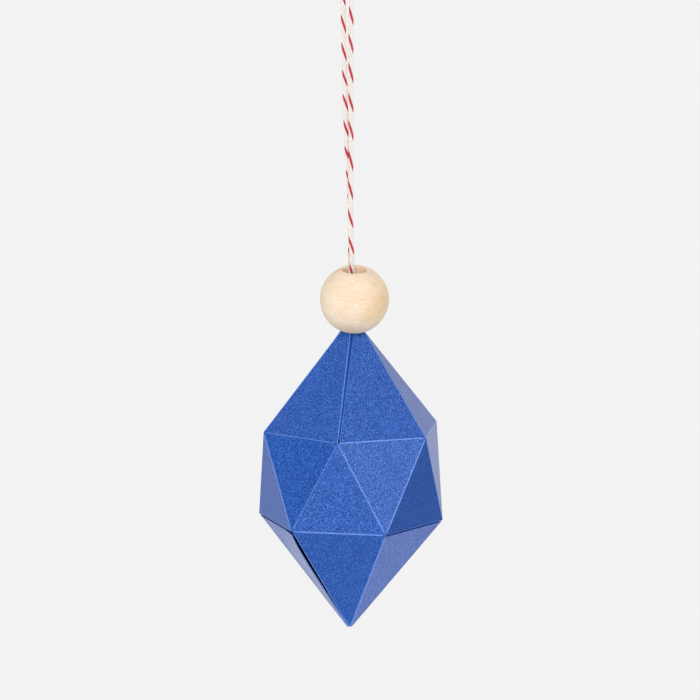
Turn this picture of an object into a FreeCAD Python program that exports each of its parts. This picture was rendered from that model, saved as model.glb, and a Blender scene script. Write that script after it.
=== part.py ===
"""A hanging paper gem: one folded sheet of card, a turned wooden bead on its apex and the twine that hangs it."""

import FreeCAD, Part
import math
import os
import Sketcher

# Frame: the origin is the inside top of the twine loop, where a hook carries the ornament, with +Z up.
# The gem hangs on the Z axis. The ring corner above its widest glued seam points to -Y.

doc = FreeCAD.newDocument("paper_gem")

# Driving dimensions, in millimetres and degrees

DIMENSIONS = {
    "ring_radius": 27.3,            # axis to each of the six corners of either ring
    "band_height": 26.9,            # upper ring to lower ring
    "top_height": 32.7,             # upper ring to the point where the upper flaps would meet
    "bottom_height": 34.2,          # lower ring to the point where the lower flaps would meet
    "card_thickness": 0.3,
    "apex_hole": 3.2,               # across the flats of the opening that the twine comes out of
    "tip_hole": 0.7,                # across the flats of the opening left between the lower points
    "tab_width": 6.0,
    "tab_setback": 1.5,             # ring corner to the end of a glue tab, along its fold
    "tab_mitre": 4.0,               # how far a tab's end slopes back over its width
    "tip_setback": 4.0,             # point of a flap to the end of a glue tab, along its fold
    "tip_mitre": 6.0,
    "seam_at_ring": 0.15,           # width of a flap seam at the ring
    "seam_at_apex": 0.5,            # width of a flap seam at the apex
    "wide_seam_at_apex": 1.5,       # the same on the front seam, which was glued wide
    "ring_seam": 0.3,               # width of the seams round the lower ring
    "lift_width": 8.0,              # length of ring edge over which the open seam's flap curls up
    "lift_height": 1.2,             # pull of the curl, about 1.4 times how far the edge stands off
    "lift_gap": 0.15,               # open seam, measured across the flaps
    "lift_pull": 0.25,              # where along the seam the curl fades, as a share of the seam
    "sprung_tab": 20.0,             # how far the open seam's tab has sprung inwards
    "bead_diameter": 20.0,
    "bead_bore": 6.8,
    "bead_mouth": 0.6,              # radius that rounds both ends of the bore
    "bead_lean": 11.5,              # bead axis off the vertical
    "bead_lean_side": 8.2,          # direction of the lean, from -Y towards +X
    "bead_offset": 0.6,             # how far the bead sits off the apex, square to its lean
    "hang_drop": 113.3,             # hook point to the point where the upper flaps would meet
    "twine_diameter": 1.5,
    "knot_radius": 1.75,            # middle of the knot's wraps
    "knot_height": 4.2,
    "tail_length": 9.0,
    "tail_splay": 10.0,
}

SIDES = 6
SIDE_ANGLE = 360 / SIDES

sizes = doc.addObject("Spreadsheet::Sheet", "sizes")
for row, (alias, value) in enumerate(DIMENSIONS.items(), start=1):
    sizes.set(f"A{row}", alias.replace("_", " "))
    sizes.set(f"B{row}", str(value))
    sizes.setAlias(f"B{row}", alias)
doc.recompute()


def size(alias):
    """Value of one driving dimension."""
    return float(sizes.get(alias))


# Levels and slopes of the gem, as expressions on the sheet

HALF_SIDE = "cos(30)"
APOTHEM = f"(sizes.ring_radius * {HALF_SIDE})"
APEX = "(-sizes.hang_drop)"
UPPER_RING = f"({APEX} - sizes.top_height)"
LOWER_RING = f"({UPPER_RING} - sizes.band_height)"
FOOT = f"({LOWER_RING} - sizes.bottom_height)"
TOP_SLOPE = f"({APOTHEM} / sizes.top_height)"
BOTTOM_SLOPE = f"({APOTHEM} / sizes.bottom_height)"
BAND_SLOPE = f"((sizes.ring_radius - {APOTHEM}) / sizes.band_height)"


def stretch(slope):
    """Level thickness of a sheet one thick that leans by this slope."""
    return f"sqrt(1 + {slope} ^ 2)"


def blunt(hole, slope):
    """How far below its point a cone of flaps is cut so that the opening inside measures this hole."""
    return f"((sizes.{hole} / 2 + sizes.card_thickness * {stretch(slope)}) / {slope})"


TOP_CUT = f"({APEX} - {blunt('apex_hole', TOP_SLOPE)})"
BOTTOM_CUT = f"({FOOT} + {blunt('tip_hole', BOTTOM_SLOPE)})"

# Each six planes of the gem close to a cone: its name, its turn about Z, its slope and its apothem at a level
UPPER_TURN = SIDE_ANGLE / 2
LOWER_TURN = 0
CONES = (
    ("upper_flaps", UPPER_TURN, TOP_SLOPE, "{slope} * ({apex} - {level})"),
    ("upper_band", UPPER_TURN, BAND_SLOPE, "{apothem} + {slope} * ({upper} - {level})"),
    ("lower_band", LOWER_TURN, BAND_SLOPE, "{apothem} + {slope} * ({level} - {lower})"),
    ("lower_flaps", LOWER_TURN, BOTTOM_SLOPE, "{slope} * ({level} - {foot})"),
)


def hexagon(name, turn, apothem, level):
    """Level hexagon on the axis, sized by its apothem."""
    ring = doc.addObject("Part::RegularPolygon", name)
    ring.Polygon = SIDES
    ring.Placement = FreeCAD.Placement(FreeCAD.Vector(), FreeCAD.Rotation(FreeCAD.Vector(0, 0, 1), turn))
    ring.setExpression("Circumradius", f"({apothem}) / {HALF_SIDE}")
    ring.setExpression(".Placement.Base.z", level)
    return ring


def gem(name, inset):
    """Twenty-four-sided gem, the solid that all four cones share, with each plane moved in by the inset."""
    parts = []
    for cone_name, turn, slope, formula in CONES:
        rings = []
        for end, level in (("low", BOTTOM_CUT), ("high", TOP_CUT)):
            apothem = formula.format(
                slope=slope, level=level, apothem=APOTHEM, apex=APEX, upper=UPPER_RING, lower=LOWER_RING, foot=FOOT
            )
            inner = f"{apothem} - {inset} * {stretch(slope)}"
            rings.append(hexagon(f"{name}_{cone_name}_{end}", turn, inner, level))
        cone = doc.addObject("Part::Loft", f"{name}_{cone_name}")
        cone.Sections = rings
        cone.Solid = True
        cone.Ruled = True
        parts.append(cone)
    solid = doc.addObject("Part::MultiCommon", name)
    solid.Shapes = parts
    return solid


# Corners of the gem

apex_level = -size("hang_drop")
upper_level = apex_level - size("top_height")
lower_level = upper_level - size("band_height")
foot_level = lower_level - size("bottom_height")
middle = FreeCAD.Vector(0, 0, (upper_level + lower_level) / 2)
APEX_POINT = FreeCAD.Vector(0, 0, apex_level)
FOOT_POINT = FreeCAD.Vector(0, 0, foot_level)
FRONT = -90


def ring_corner(level, angle):
    """Corner of a ring, with the angle counted from -Y towards +X."""
    turn = math.radians(FRONT + angle)
    return FreeCAD.Vector(size("ring_radius") * math.cos(turn), size("ring_radius") * math.sin(turn), level)


def upper(index):
    """Upper corner, number 0 in front."""
    return ring_corner(upper_level, index * SIDE_ANGLE)


def lower(index):
    """Lower corner, number 0 to the left of the front."""
    return ring_corner(lower_level, index * SIDE_ANGLE - SIDE_ANGLE / 2)


def outward(first, second, third):
    """Unit normal of a face, pointing away from the middle of the gem."""
    normal = (second - first).cross(third - first).normalize()
    if normal.dot(first - middle) < 0:
        normal = -normal
    return normal


class Seam:
    """A cut edge from start to end. It trims the face that holds the corner 'over', whose underside the tab
    of the other face, with the corner 'under', is glued to."""

    def __init__(self, start, end, over, under):
        self.start = start
        self.length = (end - start).Length
        self.along = (end - start).normalize()
        self.normal = outward(start, end, over)
        self.into = self.normal.cross(self.along)
        if self.into.dot(over - start) < 0:
            self.into = -self.into
        self.fold = self.normal.getAngle(outward(start, end, under))


def placed(origin, local_x, local_y):
    """Placement at the origin, with these two directions as its X and Y."""
    return FreeCAD.Placement(origin, FreeCAD.Rotation(local_x, local_y, local_x.cross(local_y), "XYZ"))


def seam_cut(name, seam, start_width, end_width):
    """Narrow wedge that trims the upper face along a seam, as deep as the card is thick."""
    cut = doc.addObject("Part::Wedge", name)
    cut.Ymin = 0
    cut.Ymax = seam.length
    for side in ("Zmin", "Z2min"):
        cut.setExpression(side, "-sizes.card_thickness")
    for side in ("Zmax", "Z2max"):
        cut.setExpression(side, "sizes.card_thickness")
    cut.Xmin = 0
    cut.X2min = 0
    cut.setExpression("Xmax", f"sizes.{start_width}")
    cut.setExpression("X2max", f"sizes.{end_width}")
    cut.Placement = placed(seam.start, seam.into, seam.along)
    return cut


def glue_tab(name, seam, first, last, spring="0"):
    """Tab with sloping ends under the trimmed face. It starts inside the fold of the face that it belongs to.
    first and last name the setback and the slope of its two ends."""
    tab = doc.addObject("Part::Wedge", name)
    inwards = -seam.normal
    along = seam.along
    origin = seam.start
    if along.cross(seam.into).dot(inwards) < 0:
        along = -along
        origin = seam.start + seam.along * seam.length
        first, last = last, first
    tab.setExpression("Xmin", f"sizes.{first[0]}")
    tab.setExpression("X2min", f"sizes.{first[0]} + sizes.{first[1]}")
    tab.setExpression("Xmax", f"{seam.length} - sizes.{last[0]}")
    tab.setExpression("X2max", f"{seam.length} - sizes.{last[0]} - sizes.{last[1]}")
    tab.setExpression("Ymin", f"-sizes.card_thickness / tan({math.degrees(seam.fold)}) / 2")
    tab.setExpression("Ymax", "sizes.tab_width")
    for side in ("Zmin", "Z2min"):
        tab.setExpression(side, "sizes.card_thickness")
    for side in ("Zmax", "Z2max"):
        tab.setExpression(side, "2 * sizes.card_thickness")
    place = placed(origin, along, seam.into)
    springing = FreeCAD.Rotation(FreeCAD.Vector(1, 0, 0), float(spring))
    tab.Placement = place.multiply(FreeCAD.Placement(FreeCAD.Vector(), springing))
    return tab


AT_RING = ("tab_setback", "tab_mitre")
AT_TIP = ("tip_setback", "tip_mitre")


def card_body():
    """The folded sheet: a band of twelve triangles, six flaps closed to the apex and a fan of six below."""
    walls = doc.addObject("Part::Cut", "folded_walls")
    walls.Base = gem("outside", "0")
    walls.Tool = gem("inside", "sizes.card_thickness")
    cuts = []
    tabs = []

    # Each upper flap carries a tab on its left edge, which is glued under the flap beside it
    for index in range(SIDES):
        seam = Seam(upper(index), APEX_POINT, upper(index - 1), upper(index + 1))
        width = "wide_seam_at_apex" if index == 0 else "seam_at_apex"
        cuts.append(seam_cut(f"flap_seam_{index}", seam, "seam_at_ring", width))
        tabs.append(glue_tab(f"flap_tab_{index}", seam, AT_RING, AT_TIP))

    # The lower fan hangs from one fold in front, and its other five edges are tucked up inside the band
    for index in range(1, SIDES):
        seam = Seam(lower(index), lower(index + 1), upper(index), FOOT_POINT)
        cuts.append(seam_cut(f"ring_seam_{index}", seam, "ring_seam", "ring_seam"))
        tabs.append(glue_tab(f"ring_tab_{index}", seam, AT_RING, AT_RING))

    # The strip of the band closes at the back
    back = SIDES // 2
    seam = Seam(lower(back), upper(back), lower(back + 1), upper(back - 1))
    cuts.append(seam_cut("band_seam", seam, "seam_at_ring", "seam_at_ring"))
    tabs.append(glue_tab("band_tab", seam, AT_RING, AT_RING))

    # The fan closes in front, where the glue has let go and the edge has curled away from its tab
    seam = Seam(lower(0), FOOT_POINT, lower(-1), lower(1))
    tabs.append(glue_tab("open_tab", seam, AT_RING, AT_TIP, size("sprung_tab")))
    flat_strip, curled_strip = curled_edge(seam)
    cuts.append(flat_strip)

    all_cuts = doc.addObject("Part::MultiFuse", "seam_cuts")
    all_cuts.Shapes = cuts
    trimmed = doc.addObject("Part::Cut", "trimmed_walls")
    trimmed.Base = walls
    trimmed.Tool = all_cuts
    card = doc.addObject("Part::MultiFuse", "card_body")
    card.Shapes = [trimmed, curled_strip] + tabs
    return card


def curled_edge(seam):
    """The strip of a flap beside the open seam, flat to be cut away, and curled as it stands."""
    thick = size("card_thickness")
    ring_way = (lower(-1) - lower(0)).normalize()
    hinge_start = seam.start + ring_way * size("lift_width")
    flat = Part.Face(Part.makePolygon([hinge_start, seam.start, FOOT_POINT, hinge_start]))
    flat.translate(seam.normal * thick)
    flat_strip = doc.addObject("Part::Feature", "curl_cut")
    flat_strip.Shape = flat.extrude(seam.normal * -2 * thick)

    # Both edges stop at the level where the points of the flaps are cut blunt
    slope = size("ring_radius") * math.cos(math.pi / SIDES) / size("bottom_height")
    cut_height = (size("tip_hole") / 2 + thick * math.sqrt(1 + slope * slope)) / slope
    share = 1 - cut_height / size("bottom_height")
    free_start = seam.start + seam.into * size("lift_gap")
    lift = seam.normal * size("lift_height")
    poles = [
        free_start,
        free_start + lift,
        free_start + (FOOT_POINT - free_start) * (share * size("lift_pull")) + lift,
        free_start + (FOOT_POINT - free_start) * share,
    ]
    curl = Part.BezierCurve()
    curl.setPoles(poles)
    hinge = Part.LineSegment(hinge_start, hinge_start + (FOOT_POINT - hinge_start) * share)
    surface = Part.makeRuledSurface(hinge.toShape(), curl.toShape())
    curled_strip = doc.addObject("Part::Feature", "curled_strip")
    curled_strip.Shape = surface.extrude(seam.normal * -thick)
    return flat_strip, curled_strip


def wood_bead():
    """Turned ball with a bore through it, rounded at both mouths, sitting askew on the apex."""
    body = doc.addObject("PartDesign::Body", "wood_bead")
    plane = next(item for item in body.Origin.OriginFeatures if item.Role == "XZ_Plane")
    profile = body.newObject("Sketcher::SketchObject", "bead_profile")
    profile.AttachmentSupport = [(plane, "")]
    profile.MapMode = "FlatFace"
    radius = size("bead_diameter") / 2
    bore = size("bead_bore") / 2
    reach = math.sqrt(radius ** 2 - bore ** 2)
    rim = math.atan2(reach, bore)
    ball = Part.Circle(FreeCAD.Vector(), FreeCAD.Vector(0, 0, 1), radius)
    arc = profile.addGeometry(Part.ArcOfCircle(ball, -rim, rim), False)
    wall = profile.addGeometry(
        Part.LineSegment(FreeCAD.Vector(bore, reach, 0), FreeCAD.Vector(bore, -reach, 0)), False
    )
    start, end, centre = 1, 2, 3
    origin, upright = -1, -2
    profile.addConstraint(Sketcher.Constraint("Coincident", arc, end, wall, start))
    profile.addConstraint(Sketcher.Constraint("Coincident", wall, end, arc, start))
    profile.addConstraint(Sketcher.Constraint("Coincident", arc, centre, origin, start))
    profile.addConstraint(Sketcher.Constraint("Vertical", wall))
    across = profile.addConstraint(Sketcher.Constraint("Radius", arc, radius))
    profile.setExpression(f"Constraints[{across}]", "sizes.bead_diameter / 2")
    inner = profile.addConstraint(Sketcher.Constraint("DistanceX", origin, start, wall, start, bore))
    profile.setExpression(f"Constraints[{inner}]", "sizes.bead_bore / 2")
    ball_feature = body.newObject("PartDesign::Revolution", "turned_ball")
    ball_feature.Profile = profile
    ball_feature.ReferenceAxis = (profile, ["V_Axis"])
    ball_feature.Angle = 360
    doc.recompute()
    mouths = [
        f"Edge{number}" for number, edge in enumerate(ball_feature.Shape.Edges, start=1)
        if isinstance(edge.Curve, Part.Circle) and abs(edge.Curve.Radius - bore) < bore / 100
    ]
    rounding = body.newObject("PartDesign::Fillet", "rounded_mouths")
    rounding.Base = (ball_feature, mouths)
    rounding.setExpression("Radius", "sizes.bead_mouth")
    body.Tip = rounding
    body.Placement = bead_seat()
    return body


def bead_seat():
    """Where the leaning bead's lower mouth comes to rest on the six faces of the apex."""
    lean = math.radians(size("bead_lean"))
    side = math.radians(FRONT + size("bead_lean_side"))
    lean_way = FreeCAD.Vector(math.cos(side), math.sin(side), 0)
    side_way = FreeCAD.Vector(-math.sin(side), math.cos(side), 0)
    axis = lean_way * math.sin(lean) + FreeCAD.Vector(0, 0, math.cos(lean))
    across = axis.cross(side_way)

    # The mouth's rounding is a ring of small balls: this circle holds their centres
    mouth = size("bead_mouth")
    circle = size("bead_bore") / 2 + mouth
    below = math.sqrt((size("bead_diameter") / 2 - mouth) ** 2 - circle ** 2)
    apothem = size("ring_radius") * math.cos(math.pi / SIDES)
    slope = size("top_height") / apothem
    slide = lean_way * (circle * math.sin(lean) / slope) + side_way * size("bead_offset")
    touch = mouth * math.sqrt(1 + slope ** 2)
    steps = 720
    height = -math.inf
    for step in range(steps):
        turn = 2 * math.pi * step / steps
        ball = side_way * (circle * math.cos(turn)) + across * (circle * math.sin(turn))
        spot = ball + slide
        reach = -math.inf
        for index in range(SIDES):
            face = math.radians(FRONT + (index + 0.5) * SIDE_ANGLE)
            reach = max(reach, spot.x * math.cos(face) + spot.y * math.sin(face))
        height = max(height, apex_level - slope * reach + touch - ball.z)
    centre = slide + FreeCAD.Vector(0, 0, height) + axis * below
    return FreeCAD.Placement(centre, FreeCAD.Rotation(side_way, across, axis, "ZXY"))


# Route of the twine, in millimetres: up from the knot, over the hook and down to the knot again.
# The two strands lie beside each other under the hook and one behind the other above the bead.

TWINE_ROUTE = (
    (0.00, 0.78, -117.60),
    (0.00, 0.78, -113.80),
    (-0.14, -0.78, -106.60),
    (-0.41, -2.23, -99.00),
    (-0.25, -2.06, -88.50),
    (-0.60, -1.80, -79.00),
    (-1.67, -1.76, -66.00),
    (-2.51, -1.88, -45.00),
    (-3.18, -1.77, -24.00),
    (-3.50, -0.95, -13.60),
    (-3.66, -0.30, -6.60),
    (-3.57, 0.00, -2.65),
    (-2.89, 0.00, -0.55),
    (-1.10, 0.00, 0.75),
    (1.10, 0.00, 0.75),
    (2.89, 0.00, -0.55),
    (3.57, 0.00, -2.65),
    (2.85, -0.20, -6.60),
    (1.05, -0.85, -12.70),
    (-0.90, -1.62, -21.50),
    (-0.78, -1.95, -40.00),
    (-0.41, -2.43, -61.00),
    (-0.33, -3.33, -75.00),
    (-0.19, -3.72, -87.00),
    (0.47, -3.62, -99.00),
    (0.14, -2.40, -106.60),
    (0.00, -0.87, -113.80),
    (0.00, -0.87, -117.60),
)
ARC_SHARE = 0.45


def twine():
    """Plain tube along the route: straight runs joined by arcs as large as their runs allow."""
    points = [FreeCAD.Vector(*point) for point in TWINE_ROUTE]
    edges = []
    radii = []
    last = points[0]
    for before, corner, after in zip(points, points[1:], points[2:]):
        back = (before - corner).normalize()
        ahead = (after - corner).normalize()
        half_turn = (math.pi - back.getAngle(ahead)) / 2
        trim = ARC_SHARE * min((before - corner).Length, (after - corner).Length)
        radius = trim / math.tan(half_turn)
        radii.append(radius)
        entry = corner + back * trim
        leave = corner + ahead * trim
        to_centre = (back + ahead).normalize() * (radius / math.cos(half_turn))
        inward = corner + to_centre - (to_centre * (radius / to_centre.Length))
        edges.append(Part.LineSegment(last, entry).toShape())
        edges.append(Part.Arc(entry, inward, leave).toShape())
        last = leave
    edges.append(Part.LineSegment(last, points[-1]).toShape())
    path = Part.Wire(edges)
    radius = size("twine_diameter") / 2
    section = Part.Wire(Part.makeCircle(radius, points[0], points[1] - points[0]))
    tube = path.makePipeShell([section], True, True)
    strand = doc.addObject("Part::Feature", "twine")
    strand.Shape = tube
    expected = math.pi * radius ** 2 * path.Length
    print(f"twine length {path.Length:.1f} mm, volume {tube.Volume:.2f} of {expected:.2f} mm3")
    print("twine radii " + ", ".join(f"{value:.1f}" for value in radii))
    return strand


def twine_knot():
    """Stopper knot of both ends inside the gem: three wraps round a core, and two short tails."""
    top = TWINE_ROUTE[0][2]
    core = doc.addObject("Part::Cylinder", "knot_core")
    core.setExpression("Radius", "sizes.knot_radius")
    core.setExpression("Height", "sizes.knot_height")
    core.setExpression(".Placement.Base.z", f"{top} - sizes.knot_height")
    pieces = [core]
    wraps = 3
    for index in range(wraps):
        wrap = doc.addObject("Part::Torus", f"knot_wrap_{index}")
        wrap.setExpression("Radius1", "sizes.knot_radius")
        wrap.setExpression("Radius2", "sizes.twine_diameter / 2")
        share = index / (wraps - 1)
        drop = f"sizes.twine_diameter / 2 + (sizes.knot_height - sizes.twine_diameter) * {share}"
        wrap.setExpression(".Placement.Base.z", f"{top} - ({drop})")
        pieces.append(wrap)
    for side, name in ((1, "back"), (-1, "front")):
        tail = doc.addObject("Part::Cylinder", f"tail_{name}")
        tail.setExpression("Radius", "sizes.twine_diameter / 2")
        tail.setExpression("Height", "sizes.tail_length")
        splay = FreeCAD.Rotation(FreeCAD.Vector(1, 0, 0), 180 + side * size("tail_splay"))
        tail.Placement = FreeCAD.Placement(FreeCAD.Vector(0, 0, 0), splay)
        tail.setExpression(".Placement.Base.y", f"{side} * sizes.twine_diameter / 2")
        tail.setExpression(".Placement.Base.z", f"{top} - sizes.knot_height + sizes.twine_diameter / 2")
        pieces.append(tail)
    knot = doc.addObject("Part::MultiFuse", "twine_knot")
    knot.Shapes = pieces
    return knot


sub_parts = [card_body(), wood_bead(), twine(), twine_knot()]
doc.recompute()

for item in doc.Objects:
    if "Invalid" in item.State or "Error" in item.State:
        raise RuntimeError(f"{item.Name} failed to recompute: {item.State}")

os.makedirs("parts", exist_ok=True)
for part in sub_parts:
    part.Label = part.Name
    shape = part.Shape
    if shape.isNull() or not shape.isValid():
        raise RuntimeError(f"{part.Name} has no valid shape")
    box = shape.BoundBox
    print(f"{part.Label}: {len(shape.Solids)} solid, {len(shape.Faces)} faces, {shape.Volume:.1f} mm3, "
          f"z {box.ZMin:.2f} to {box.ZMax:.2f}")
    shape.exportStep(f"parts/{part.Label}.step")
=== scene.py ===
"""A hanging paper gem: a folded sheet of blue card, a turned wooden bead on its apex and a loop of twine."""

import random
from math import atan2, ceil, cos, inf, pi, radians, sin, sqrt, tan

import bmesh
import bpy
import numpy as np
from mathutils import Matrix, Vector, geometry, noise


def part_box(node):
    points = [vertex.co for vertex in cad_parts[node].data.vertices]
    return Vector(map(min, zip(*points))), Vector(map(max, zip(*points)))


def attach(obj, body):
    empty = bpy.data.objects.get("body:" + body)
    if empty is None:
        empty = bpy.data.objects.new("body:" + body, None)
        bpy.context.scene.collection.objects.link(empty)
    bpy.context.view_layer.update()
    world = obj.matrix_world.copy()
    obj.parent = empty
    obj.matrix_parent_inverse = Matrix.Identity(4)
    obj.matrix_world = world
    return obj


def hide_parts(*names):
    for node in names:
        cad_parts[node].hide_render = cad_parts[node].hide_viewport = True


bl_info = {
    "name": "Hanging paper gem",
    "version": (1, 0, 0),
    "blender": (4, 5, 0),
    "location": "View3D > Sidebar > Paper gem",
    "description": "Builds the folded card, the wooden bead and the twine of a hanging paper gem",
    "category": "Object",
}

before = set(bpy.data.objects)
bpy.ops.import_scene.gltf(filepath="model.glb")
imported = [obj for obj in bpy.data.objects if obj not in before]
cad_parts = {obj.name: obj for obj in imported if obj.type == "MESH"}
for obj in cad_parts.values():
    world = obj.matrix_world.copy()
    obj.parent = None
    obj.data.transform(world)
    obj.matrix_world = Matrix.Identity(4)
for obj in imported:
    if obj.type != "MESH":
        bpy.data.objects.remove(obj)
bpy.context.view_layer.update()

MM = 0.001
SIDES = 6
SIDE_TURN = 2 * pi / SIDES
FRONT = -pi / 2         # the gem's front corner points to -Y
SEED = 20


def srgb(code):
    """Linear colour with full alpha of an sRGB hex code."""
    parts = [int(code[start:start + 2], 16) / 255 for start in (1, 3, 5)]
    return (*(part / 12.92 if part <= 0.04045 else ((part + 0.055) / 1.055) ** 2.4 for part in parts), 1.0)


def amount(name, description, value, **options):
    """Property for a number."""
    return bpy.props.FloatProperty(name=name, description=description, default=value, **options)


def length(name, description, millimetres):
    """Property for a length, given in millimetres and kept in metres."""
    return amount(name, description, millimetres * MM, unit="LENGTH", precision=5)


def angle(name, description, degrees):
    """Property for an angle, given in degrees and kept in radians."""
    return amount(name, description, radians(degrees), unit="ROTATION")


def colour(name, description, code):
    """Property for a colour, given as an sRGB hex code and kept linear."""
    return bpy.props.FloatVectorProperty(
        name=name, description=description, default=srgb(code), subtype="COLOR", size=4, min=0, max=1
    )


class CardSettings(bpy.types.PropertyGroup):
    """Sizes and colours of the folded card."""
    ring_radius: length("Ring radius", "Axis to each corner of either ring", 27.3)
    hang_drop: length("Hang drop", "Hook to the point where the upper flaps would meet", 113.3)
    top_height: length("Top height", "Upper ring to the point where the upper flaps would meet", 32.7)
    band_height: length("Band height", "Upper ring to lower ring", 26.9)
    bottom_height: length("Bottom height", "Lower ring to the point where the lower flaps would meet", 34.2)
    thickness: length("Card thickness", "Thickness of the card", 0.3)
    apex_cut: length("Apex cut", "Upper flap's point to its blunt end, along its edge", 3.55)
    tip_cut: length("Tip cut", "Lower flap's point to its blunt end, along its edge", 1.32)
    fold_radius: length("Fold radius", "Outside radius of a fold", 0.6)
    tab_width: length("Tab width", "Width of a glue tab", 6.0)
    lift: length("Lift", "Pull of the curled edge, about 1.4 times how far it stands off", 1.2)
    lift_width: length("Lift width", "Length of ring edge over which the open seam's flap curls up", 8.0)
    sprung: angle("Sprung tab", "How far the open seam's tab has sprung inwards", 20)
    blue: colour("Card blue", "Body colour of the dyed card", "#1e4ea6")
    blue_deep: colour("Deep blue", "Darker fibres of the dyed card", "#05378c")
    blue_light: colour("Light blue", "Lighter fibres of the dyed card", "#5584d4")
    fold_light: colour("Worn fold", "Stretched fibres along a fold", "#7ba2ee")
    # Painted shade: the tab's blue is deepened to stand in for the shade in its recess under the panel on top
    tab_painted_shade: colour("Glued card", "Card of a tab, darkened by its glue", "#164a9e")
    core: colour("Card core", "Cut edge of the card", "#6c93e2")


class BeadSettings(bpy.types.PropertyGroup):
    """Sizes and colours of the turned bead."""
    diameter: length("Diameter", "Diameter of the bead", 20.0)
    bore: length("Bore", "Diameter of the bore", 6.8)
    mouth: length("Mouth", "Radius that rounds both ends of the bore", 0.6)
    lean: angle("Lean", "Bead axis off the vertical", 11.5)
    lean_side: angle("Lean side", "Direction of the lean, from -Y towards +X", 8.2)
    early: colour("Early wood", "Pale wood between the growth rings", "#f5e6d2")
    late: colour("Late wood", "Darker wood of the growth rings", "#e2c294")
    # Painted light: both bore colours are raised near white to stand in for the light that reaches into the
    # bore
    bore_wood_painted_light: colour("Bore wood", "Raw wood inside the bore", "#fff0da")
    bore_grain_painted_light: colour("Bore grain", "Torn end grain inside the bore", "#fbd0a0")


class TwineSettings(bpy.types.PropertyGroup):
    """Sizes and colours of the twine."""
    diameter: length("Diameter", "Diameter of the twine", 1.5)
    lay: length("Lay", "Length of one full turn of the plies", 8.1)
    knot_radius: length("Knot radius", "Middle of the knot's wraps", 1.75)
    white: colour("Undyed cotton", "Colour of the three pale plies", "#f1e9e3")
    red: colour("Red cotton", "Colour of the dyed ply", "#c41f2b")


class StudioSettings(bpy.types.PropertyGroup):
    """The plain room, its light and the camera."""
    floor_drop: length("Floor drop", "Hook to the floor", 750)
    paper: colour("Floor", "Colour of the pale floor", "#e9e9e9")
    glow: amount("Floor glow", "Light that comes up through the white acrylic floor", 0.23)
    horizon: amount("Room light", "Brightness of the pale room level with the floor", 0.8)
    zenith: amount("Ceiling light", "Brightness of the room overhead", 0.6)
    key: amount("Key light", "Strength of the soft key light", 1.45)
    key_spread: angle("Key spread", "Apparent width of the softbox", 40)
    key_side: angle("Key side", "Direction of the softbox, from -Y towards +X", 8)
    key_height: angle("Key height", "Height of the softbox above the level", 24)


SETTINGS = {
    "gem_card": CardSettings, "gem_bead": BeadSettings,
    "gem_twine": TwineSettings, "gem_studio": StudioSettings,
}


# Materials

def fill(tree, node, inputs):
    """Sets a node's values, and links those given as sockets or as nodes, by their first output."""
    for name, value in inputs.items():
        if isinstance(value, bpy.types.Node):
            value = value.outputs[0]
        if isinstance(value, bpy.types.NodeSocket):
            tree.links.new(value, node.inputs[name])
        else:
            node.inputs[name].default_value = value


def add_node(tree, kind, inputs=None, stops=None, **settings):
    """Adds a node with its options, its inputs and the stops of its colour ramp."""
    node = tree.nodes.new(kind)
    for name, value in settings.items():
        setattr(node, name, value)
    fill(tree, node, inputs or {})
    if stops:
        elements = node.color_ramp.elements
        while len(elements) < len(stops):
            elements.new(0.5)
        for element, (place, shade) in zip(elements, stops):
            element.position = place
            element.color = shade
    return node


def per_metre(millimetres):
    """Scale of a noise pattern whose features are this wide."""
    return 1 / (millimetres * MM)


def blank_material(name):
    """Material with a lone shader, and its node tree."""
    material = bpy.data.materials.new(name)
    material.use_nodes = True
    tree = material.node_tree
    tree.nodes.clear()
    shader = add_node(tree, "ShaderNodeBsdfPrincipled")
    add_node(tree, "ShaderNodeOutputMaterial", {"Surface": shader})
    return material, tree, shader


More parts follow.
